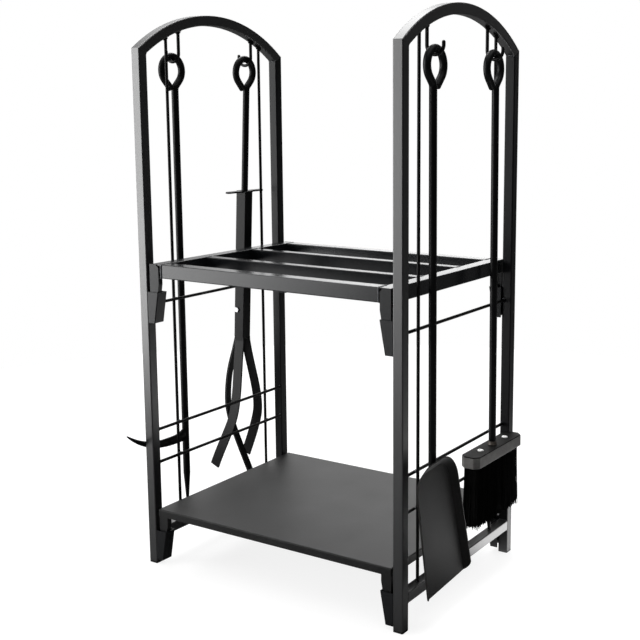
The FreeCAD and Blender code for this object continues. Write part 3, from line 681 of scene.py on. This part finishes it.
@dataclass
class Shelf:
    """The lift-out slatted shelf."""

    top: float = 452.0
    tube: float = 20.0
    inner: float = 184.0
    face: float = 155.5
    slat: float = 53.0
    slat_width: float = 15.0
    bead: float = 0.0013
    bead_seed: int = 11

    def build(self, place: Place, palette: Palette, welds: WeldGrower) -> None:
        """Add the shelf's weld beads.

        Args:
            place: Turns millimetres into scene metres.
            palette: The finishes.
            welds: Grows the beads.
        """
        beads: List[List[Vector]] = []
        for side in (-1, 1):
            x = side * self.inner
            for end in (-1, 1):
                y = end * (self.face + 0.4)
                beads.append([place(x, y, self.top - self.tube + 1.5), place(x, y, self.top - 1.5)])
                low, high = end * (self.face - self.tube + 1.5), end * (self.face - 1.5)
                beads.append([place(x, low, self.top - 0.3), place(x, high, self.top - 0.3)])
                middle = end * self.slat
                half = self.slat_width / 2 - 1.5
                high = self.top - 0.3
                beads.append([place(x, middle - half, high), place(x, middle + half, high)])
        mesh = welds.bead(beads, self.bead, palette, self.bead_seed)
        link("shelf_welds", mesh, "shelf", "weld", palette)


@dataclass
class Tool:
    """A hearth tool hung by its eye."""

    side: Side
    out: float
    along: float
    bar_height: float
    lean: float
    body: str
    sway: float = 0.0
    hook_place: float = 0.0

    def at(self, place: Place, x: float, y: float, z: float) -> Vector:
        """Scene point of a place on the tool, given beside its unleaned axis.

        Args:
            place: Turns millimetres into scene metres.
            x: Outward from the axis.
            y: Along Y from the axis, before the tool is carried to its side.
            z: Height before the lean.

        Returns:
            The scene point.
        """
        sway = math.radians(self.sway)
        back = self.along + y - self.hook_place
        y = self.hook_place + back * math.cos(sway) + (z - self.bar_height) * math.sin(sway)
        z = self.bar_height + (z - self.bar_height) * math.cos(sway) - back * math.sin(sway)
        turn = math.radians(self.lean)
        drop = z - self.bar_height
        far = self.out + x * math.cos(turn) - drop * math.sin(turn)
        high = self.bar_height + x * math.sin(turn) + drop * math.cos(turn)
        sign = self.side.value
        return place(sign * far, sign * y, high)


@dataclass
class Brush(Tool):
    """The hearth brush: screws and bristles."""

    half_long: float = 72.0
    half_wide: float = 14.5
    foot: float = 178.0
    tip: float = 88.0
    front_inset: float = 7.0
    rear_inset: float = 13.0
    screw_gap: float = 38.5
    screw_shift: float = 2.0
    block_top: float = 195.0
    rows: int = 11
    columns: int = 50
    row_margin: float = 1.4
    side_margin: float = 4.6
    seed: int = 21
    screw_sides: int = 32
    screw_profile: Tuple[Tuple[float, float], ...] = (
        (4.7, 0.0), (4.5, 0.7), (3.9, 1.25), (2.9, 1.6), (1.8, 1.75), (0.9, 1.8))
    slot_reach: float = 3.4
    slot_half: float = 0.55
    slot_depth: float = 0.8

    def build(self, place: Place, palette: Palette) -> None:
        """Add the screws and the bristles.

        Args:
            place: Turns millimetres into scene metres.
            palette: The finishes.
        """
        self._screws(place, palette)
        self._bristles(place, palette)

    def _screws(self, place: Place, palette: Palette) -> None:
        """Oval screw heads with a driver slot.

        Args:
            place: Turns millimetres into scene metres.
            palette: The finishes.
        """
        shape = bmesh.new()
        for side in (-1, 1):
            centre = self.at(place, 0.0, self.screw_shift + side * self.screw_gap, self.block_top)
            rings: List[List[bmesh.types.BMVert]] = []
            for radius, height in self.screw_profile:
                ring = []
                for step in range(self.screw_sides):
                    turn = 2 * math.pi * step / self.screw_sides
                    dx, dy = radius * math.cos(turn), radius * math.sin(turn)
                    sink = 0.0
                    if radius < self.slot_reach and min(abs(dx), abs(dy)) < self.slot_half:
                        sink = self.slot_depth
                    ring.append(shape.verts.new(centre + Vector((dx, dy, height - sink)) / 1000.0))
                rings.append(ring)
            for low, high in zip(rings, rings[1:]):
                for step in range(self.screw_sides):
                    nxt = (step + 1) % self.screw_sides
                    shape.faces.new((low[step], low[nxt], high[nxt], high[step]))
            cap = shape.verts.new(centre + Vector((0, 0, 1.0)) / 1000.0)
            for step in range(self.screw_sides):
                nxt = (step + 1) % self.screw_sides
                shape.faces.new((rings[-1][step], rings[-1][nxt], cap))
            shape.faces.new(list(reversed(rings[0])))
        mesh = bpy.data.meshes.new("screws")
        shape.to_mesh(mesh)
        shape.free()
        smooth(mesh)
        link("brush_screw_heads", mesh, self.body, "screw", palette, ("brush_screws",))

    def _bristles(self, place: Place, palette: Palette) -> None:
        """A thick tuft of separate bristles that splays and ends unevenly.

        Args:
            place: Turns millimetres into scene metres.
            palette: The finishes.
        """
        low, high = (Vector(corner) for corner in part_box("brush_bristles"))
        grower = BristleGrower()
        mesh = bpy.data.meshes.new("rows")
        points: List[Vector] = []
        first = -self.half_long + self.front_inset + self.row_margin
        last = self.half_long - self.rear_inset - self.row_margin
        reach = self.half_wide - self.side_margin
        for row in range(self.rows):
            across = -1 + 2 * row / (self.rows - 1)
            for column in range(self.columns):
                along = first + (last - first) * (column / (self.columns - 1))
                points.append(self.at(place, across * reach, along, self.foot))
        mesh.from_pydata(points, [], [])
        centre = self.at(place, 0.0, 0.0, self.foot)
        grown = grower.run(mesh, {"Centre": centre, "Length": (self.foot - self.tip) / 1000.0 - 0.001,
                                  "Least X": low.x + 0.0003, "Most X": high.x - 0.0003,
                                  "Seed": self.seed, "Material": palette["bristle"]})
        link("brush_bristle_tuft", grown, self.body, "bristle", palette, ("brush_bristles",))


class BristleGrower(Grower):
    """Bristles that hang from points, lean outward with distance and waver."""

    def __init__(self) -> None:
        """Build the tree."""
        super().__init__("bristle_tuft", [("Centre", "NodeSocketVector", None),
                                          ("Length", "NodeSocketFloat", 0.08),
                                          ("Least X", "NodeSocketFloat", 0.0),
                                          ("Most X", "NodeSocketFloat", 1.0),
                                          ("Seed", "NodeSocketInt", 1),
                                          ("Material", "NodeSocketMaterial", None)])
        tree, entry = self.tree, self.entry
        spread = tree.add("GeometryNodeDuplicateElements", {"domain": "POINT"},
                          {"Geometry": self._points(), "Amount": 7})
        jitter = tree.add("FunctionNodeRandomValue", {"data_type": "FLOAT_VECTOR"},
                          {0: (-0.0013, -0.0013, 0.0), 1: (0.0013, 0.0013, 0.0),
                           "Seed": entry.outputs["Seed"]})
        moved = tree.add("GeometryNodeSetPosition", None, {"Geometry": spread, "Offset": jitter})
        line = tree.add("GeometryNodeCurvePrimitiveLine", None,
                        {"Start": (0, 0, 0.004), "End": (0, 0, -1)})
        steps = tree.add("GeometryNodeResampleCurve", {"mode": "COUNT"}, {"Curve": line, "Count": 6})
        ring = tree.add("GeometryNodeCurvePrimitiveCircle", None, {"Resolution": 3, "Radius": 0.00042})
        hair = tree.add("GeometryNodeCurveToMesh", None, {"Curve": steps, "Profile Curve": ring})
        wide = tree.add("FunctionNodeRandomValue", {"data_type": "FLOAT"},
                        {2: 0.86, 3: 1.0, "Seed": entry.outputs["Seed"]})
        tall = tree.add("ShaderNodeMath", {"operation": "MULTIPLY"},
                        {0: wide.outputs[1], 1: entry.outputs["Length"]})
        size = tree.add("ShaderNodeCombineXYZ", None, {0: 1.0, 1: 1.0, 2: tall})
        hung = tree.add("GeometryNodeInstanceOnPoints", None,
                        {"Points": moved, "Instance": hair, "Scale": size})
        real = tree.add("GeometryNodeRealizeInstances", None, {0: hung})
        spot = tree.add("GeometryNodeInputPosition")
        away = tree.add("ShaderNodeVectorMath", {"operation": "SUBTRACT"},
                        {0: spot, 1: entry.outputs["Centre"]})
        parts = tree.add("ShaderNodeSeparateXYZ", None, {0: away})
        depth = Num(tree, parts.outputs[2]) * -1.0
        share = depth * (1.0 / 0.084)
        lean = (share ** 1.4) * 0.055
        wave = tree.add("ShaderNodeTexNoise", {"noise_dimensions": "3D"},
                        {"Vector": spot, "Scale": 90.0, "Detail": 1.0})
        centred = tree.add("ShaderNodeVectorMath", {"operation": "SUBTRACT"},
                           {0: wave.outputs["Color"], 1: (0.5, 0.5, 0.5)})
        waver = tree.add("ShaderNodeVectorMath", {"operation": "SCALE"},
                         {0: centred, "Scale": (share * share) * 0.006})
        shift_x = Num(tree, parts.outputs[0]) * (lean * 1.6)
        shift_y = Num(tree, parts.outputs[1]) * lean
        splay = tree.add("ShaderNodeCombineXYZ", None, {0: shift_x, 1: shift_y, 2: 0.0})
        total = tree.add("ShaderNodeVectorMath", {"operation": "ADD"}, {0: waver, 1: splay})
        bent = tree.add("GeometryNodeSetPosition", None, {"Geometry": real, "Offset": total})
        after = tree.add("GeometryNodeInputPosition")
        coords = tree.add("ShaderNodeSeparateXYZ", None, {0: after})
        least = tree.add("ShaderNodeMath", {"operation": "MAXIMUM"},
                         {0: coords.outputs[0], 1: entry.outputs["Least X"]})
        most = tree.add("ShaderNodeMath", {"operation": "MINIMUM"},
                        {0: least, 1: entry.outputs["Most X"]})
        held = tree.add("ShaderNodeCombineXYZ", None,
                        {0: most, 1: coords.outputs[1], 2: coords.outputs[2]})
        kept = tree.add("GeometryNodeSetPosition", None, {"Geometry": bent, "Position": held})
        self.end(kept)

    def _points(self) -> Any:
        """The points that bristles hang from."""
        return self.tree.add("GeometryNodeMeshToPoints", None,
                             {"Mesh": self.entry.outputs["Geometry"]})


# ---- studio -----------------------------------------------------------------------
@dataclass
class Studio:
    """Floor, soft surrounding light and camera."""

    eye: Point = (911.344, -1282.749, 674.583)
    yaw: float = 30.829
    pitch: float = -8.961
    roll: float = 0.162
    lens: float = 61.12
    shift: Tuple[float, float] = (-0.150, -0.065)
    floor_size: float = 1.5
    floor_grey: float = 0.26
    floor_white: float = 0.84
    painted_reflection_strength: float = 4.5
    key: float = 9.0
    top: float = 1.5
    rim: float = 6.0
    back: float = 2.9
    fill: float = 0.10

    def build(self, place: Place) -> None:
        """Set up the studio.

        Args:
            place: Turns millimetres into scene metres.
        """
        self._floor()
        self._world()
        self._camera(place)
        bpy.context.scene.view_settings.view_transform = "Standard"

    def _floor(self) -> None:
        """A round pale floor that stays white to the camera, keeps the shadow and holds a painted
        reflection patch.
        """
        shape = bmesh.new()
        bmesh.ops.create_circle(shape, cap_ends=True, radius=self.floor_size, segments=96)
        mesh = bpy.data.meshes.new("studio_floor")
        shape.to_mesh(mesh)
        shape.free()
        material = bpy.data.materials.new("pale_floor")
        material.use_nodes = True
        tree = Tree(material.node_tree)
        grey = (self.floor_grey,) * 3 + (1.0,)
        matt = tree.add("ShaderNodeBsdfDiffuse", None, {"Color": grey})
        rays = tree.add("ShaderNodeLightPath")
        seen = tree.number(rays, Ray.CAMERA.value)
        mirrored = tree.number(rays, Ray.GLOSSY.value)
        x, y, _ = tree.split(tree.where())
        # Painted reflection: a patch right of and behind the rack glows only to glossy rays, lighting
        # the reflections in the rack's right rear faces.
        beside = x.ramp(0.16, 0.24) * x.ramp(0.52, 0.38) * y.ramp(0.06, 0.20) * y.ramp(0.65, 0.42)
        glow = tree.add("ShaderNodeEmission", None,
                        {"Strength": seen * self.floor_white + mirrored * beside * self.painted_reflection_strength})
        both = tree.add("ShaderNodeAddShader", None, {0: matt, 1: glow})
        tree.add("ShaderNodeOutputMaterial", None, {"Surface": both})
        mesh.materials.append(material)
        floor = bpy.data.objects.new("studio_floor", mesh)
        bpy.context.scene.collection.objects.link(floor)

    def _world(self) -> None:
        """Soft boxes at the front left, overhead and behind, and a strip for the right arch."""
        world = bpy.data.worlds.new("studio")
        bpy.context.scene.world = world
        world.use_nodes = True
        tree = Tree(world.node_tree)
        x, y, z = tree.split(tree.add("ShaderNodeTexCoord").outputs["Generated"])
        front_left = x.ramp(-0.42, -0.72) * y.ramp(-0.25, -0.50) * z.ramp(0.60, 0.30)
        front_left = front_left * (z - (x + 0.53) * 1.4).ramp(-0.26, 0.04)
        overhead = z.ramp(0.62, 0.88)
        rim = z.ramp(0.36, 0.60) * x.ramp(-0.15, -0.35) * x.ramp(-0.72, -0.58) * y.ramp(-0.05, 0.22)
        behind = y.ramp(0.20, 0.55) * z.ramp(0.30, 0.18) * z.ramp(-0.08, 0.06) * x.ramp(0.20, -0.05)
        behind = behind * x.ramp(-0.72, -0.53, 0.08, 1.0)
        light = front_left * self.key + overhead * self.top + behind * self.back
        light = light + rim * self.rim + self.fill
        seen = tree.number(tree.add("ShaderNodeLightPath"), Ray.CAMERA.value)
        strength = seen * 1.0 + (1.0 - seen) * light
        glow = tree.add("ShaderNodeBackground", None,
                        {"Color": (1.0, 1.0, 1.0, 1.0), "Strength": strength})
        tree.add("ShaderNodeOutputWorld", None, {"Surface": glow})

    def _camera(self, place: Place) -> None:
        """A long lens from the front right.

        Args:
            place: Turns millimetres into scene metres.
        """
        data = bpy.data.cameras.new("camera")
        data.lens = self.lens
        data.sensor_width = 36.0
        data.shift_x, data.shift_y = self.shift
        data.clip_start, data.clip_end = 0.05, 50.0
        yaw, pitch, roll = (math.radians(a) for a in (self.yaw, self.pitch, self.roll))
        level = math.cos(pitch)
        ahead = Vector((-math.sin(yaw) * level, math.cos(yaw) * level, math.sin(pitch)))
        right = Vector((math.cos(yaw), math.sin(yaw), 0.0))
        above = right.cross(ahead)
        across = math.cos(roll) * right + math.sin(roll) * above
        upward = -math.sin(roll) * right + math.cos(roll) * above
        turn = Matrix((across, upward, -ahead)).transposed()
        camera = bpy.data.objects.new("camera", data)
        camera.matrix_world = Matrix.Translation(place(*self.eye)) @ turn.to_4x4()
        bpy.context.scene.collection.objects.link(camera)
        bpy.context.scene.camera = camera


OWN_COATS: Dict[str, str] = {
    # The rear posts take the shaded copy of the frame powder: painted shade.
    "rear_post": "rear_post_coat",
    "shelf_slats": "slat_coat",
    "_sockets": "socket_coat",
    "shelf_tongues": "socket_coat",
    "_rods": "rod_coat",
    "_hooks": "rod_coat",
}


def dress_nodes(palette: Palette) -> None:
    """Give every carried-over CAD node its finish.

    Args:
        palette: The finishes.
    """
    for part in FRAME["record"]["subparts"]:
        name = part["node"]
        coat = part["material_slot"]
        for ending, own in OWN_COATS.items():
            if name.endswith(ending):
                coat = own
        node = FRAME["nodes"][name]
        node.data.materials.clear()
        node.data.materials.append(palette[coat])
        LOG.info("%s: %s", name, coat)


def main() -> None:
    """Build every sub-assembly in order."""
    logging.basicConfig(level=logging.INFO, format="%(message)s")
    place = Place()
    palette = Palette()
    welds = WeldGrower()
    dress_nodes(palette)
    for side in Side:
        Hoop(side).build(place, palette, welds)
    Shelf().build(place, palette, welds)
    brush = Brush(side=Side.RIGHT, out=227.5, along=74.5, bar_height=746.83, lean=0.5, body="brush",
                  sway=0.4, hook_place=73.0)
    brush.build(place, palette)
    Studio().build(place)


if __name__ == "__main__":
    main()
